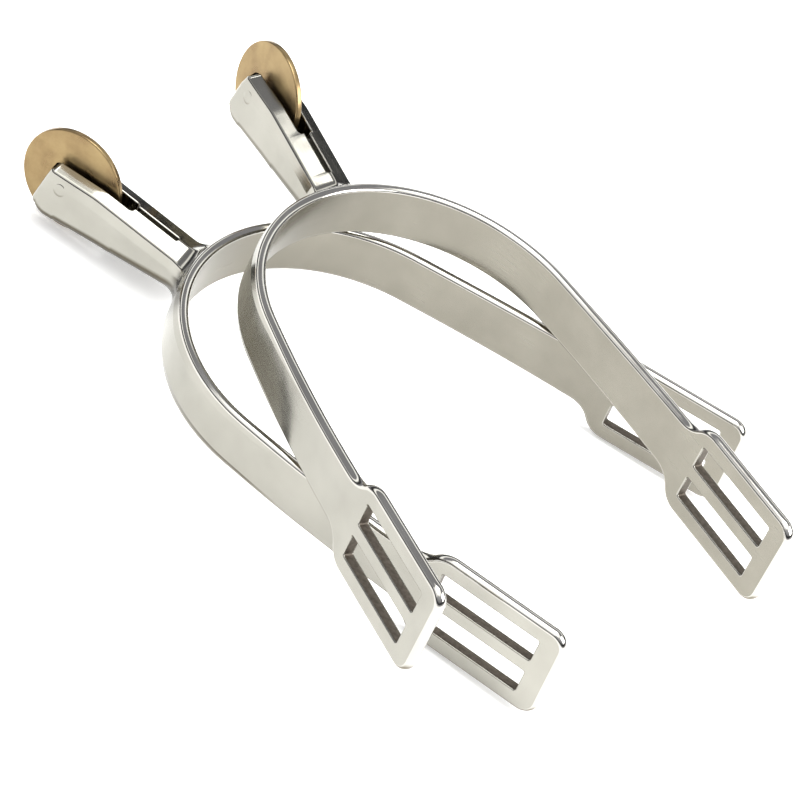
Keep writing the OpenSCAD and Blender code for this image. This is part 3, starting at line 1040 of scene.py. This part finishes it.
band_steel = steel("band_steel", "UV", BAND_LINES, dull=0.07)
neck_steel = steel("neck_steel", "UV", NECK_LINES)
pin_steel = steel("pin_steel", "Object", PIN_LINES)
wall_steel = dull_steel_with_painted_shade("slot_wall_shaded_steel")
edge_steel = steel("band_edge_highlight_steel", "UV", BAND_LINES, EDGE_HIGHLIGHT_TINTS, -0.02)
inner_steel = steel("inner_band_steel", "UV", BAND_LINES, SATIN_SHADE_TINTS, 0.12)
rowel_brass = brass("rowel_brass")

# A piece's name, how it is built, its materials, its CAD material and the body it rides on
PIECES = [
    ("heel_band", build_band, [band_steel, wall_steel, inner_steel, edge_steel], "spur_steel", "spur"),
    ("neck", build_neck, [neck_steel], "spur_steel", "spur"),
    ("rowel", build_rowel, [rowel_brass], "rowel_brass", "rowel"),
    ("rowel_pin", build_pin, [pin_steel], "pin_steel", "spur"),
]

for part, build, materials, slot_name, body in PIECES:
    model = build(f"{part}_model")
    for material in materials:
        model.data.materials.append(material)
    for spur, at in (("lower", LOWER), ("upper", UPPER)):
        obj = model.copy()
        obj.data = model.data.copy()
        obj.data.transform(at)
        obj.name = f"{spur}_{part}_piece"
        bpy.context.scene.collection.objects.link(obj)
        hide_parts(f"{spur}_{part}")
        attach(obj, f"{spur}_{body}")
    bpy.data.objects.remove(model)


# ---------------------------------------------------------------- stage, lights and camera

def build_floor():
    """A white floor just under the pair, lit from within so that it stays white far out."""
    size, low = 2.5, -0.0004
    mesh = bpy.data.meshes.new("floor")
    mesh.from_pydata([(-size, -size, low), (size, -size, low), (size, size, low), (-size, size, low)],
                     [], [(0, 1, 2, 3)])
    floor = bpy.data.objects.new("floor", mesh)
    bpy.context.scene.collection.objects.link(floor)
    m = Nodes("floor_paint")
    m.shader.inputs["Base Color"].default_value = (0.93, 0.93, 0.925, 1)
    m.shader.inputs["Roughness"].default_value = 0.9
    m.shader.inputs["Specular IOR Level"].default_value = 0.1
    m.shader.inputs["Emission Color"].default_value = (1.0, 1.0, 0.995, 1)
    m.shader.inputs["Emission Strength"].default_value = 0.42
    floor.data.materials.append(m.material)


def build_world():
    """A studio: bright overhead, dark round the horizon, and dimmer on the camera's side."""
    world = bpy.data.worlds.new("studio")
    bpy.context.scene.world = world
    world.use_nodes = True
    tree = world.node_tree
    coords = tree.nodes.new("ShaderNodeTexCoord")
    split = tree.nodes.new("ShaderNodeSeparateXYZ")
    tree.links.new(coords.outputs["Generated"], split.inputs[0])
    # stops of (height, brightness), where height is the sine of the elevation
    sides = {
        "far": [(0.0, 0.40), (0.13, 0.35), (0.20, 0.06), (0.36, 0.07), (0.44, 2.0), (0.52, 2.0),
                (0.60, 0.36), (0.86, 0.40), (0.93, 2.8), (1.0, 3.6)],
        "near": [(0.0, 0.90), (0.06, 0.70), (0.13, 0.06), (0.28, 0.05), (0.45, 0.40), (0.80, 0.70),
                 (0.90, 2.4), (1.0, 3.6)],
    }
    mix = tree.nodes.new("ShaderNodeMix")
    mix.data_type = "RGBA"
    for key, socket in (("far", 6), ("near", 7)):
        ramp = tree.nodes.new("ShaderNodeValToRGB")
        ramp.color_ramp.interpolation = "EASE"
        elements = ramp.color_ramp.elements
        while len(elements) < len(sides[key]):
            elements.new(0.5)
        for element, (at, v) in zip(elements, sides[key]):
            element.position = at
            element.color = (v, v * 1.01, v * (1.10 - 0.05 * min(v, 2.4)), 1)
        tree.links.new(split.outputs["Z"], ramp.inputs["Fac"])
        tree.links.new(ramp.outputs["Color"], mix.inputs[socket])
    toward = tree.nodes.new("ShaderNodeVectorMath")
    toward.operation = "DOT_PRODUCT"
    toward.inputs[1].default_value = (0.22, -0.97, 0.0)
    tree.links.new(coords.outputs["Generated"], toward.inputs[0])
    side = tree.nodes.new("ShaderNodeMapRange")
    side.inputs["From Min"].default_value = -0.15
    side.inputs["From Max"].default_value = 0.15
    tree.links.new(toward.outputs["Value"], side.inputs["Value"])
    tree.links.new(side.outputs["Result"], mix.inputs["Factor"])
    tree.links.new(mix.outputs[2], tree.nodes["Background"].inputs["Color"])
    tree.nodes["Background"].inputs["Strength"].default_value = 1.0


def softbox(name, azimuth, elevation, distance, size, power):
    """An area light that faces the pair, in metres, degrees and watts; azimuth turns left from +X."""
    a, e = math.radians(azimuth), math.radians(elevation)
    at = Vector((math.cos(a) * math.cos(e), math.sin(a) * math.cos(e), math.sin(e))) * distance
    light = bpy.data.lights.new(name, "AREA")
    light.shape = "RECTANGLE"
    light.size, light.size_y = size
    light.energy = power
    obj = bpy.data.objects.new(name, light)
    obj.location = at
    obj.rotation_euler = (-at).to_track_quat("-Z", "Y").to_euler()
    bpy.context.scene.collection.objects.link(obj)


# Camera place and turn in the lower spur's frame, in millimetres and degrees
CAMERA_LENS = 167.5
CAMERA_AT = (160.7, -536.6, 454.5)
CAMERA_TURN = (47.22, -20.42, 29.89)


def build_camera():
    """A long lens, looking down across the pair from the lower spur's right."""
    data = bpy.data.cameras.new("camera")
    data.sensor_width = 36.0
    data.lens = CAMERA_LENS
    camera = bpy.data.objects.new("camera", data)
    bpy.context.scene.collection.objects.link(camera)
    camera.matrix_world = LOWER @ place(*CAMERA_AT, *CAMERA_TURN)
    bpy.context.scene.camera = camera


build_floor()
build_world()
softbox("key", 100, 80, 1.6, (0.8, 0.8), 9)
softbox("fill", -120, 50, 1.8, (1.6, 1.2), 5)
softbox("toe_side", 15, 35, 0.55, (0.3, 0.3), 2.5)
build_camera()
bpy.context.scene.view_settings.view_transform = "Standard"
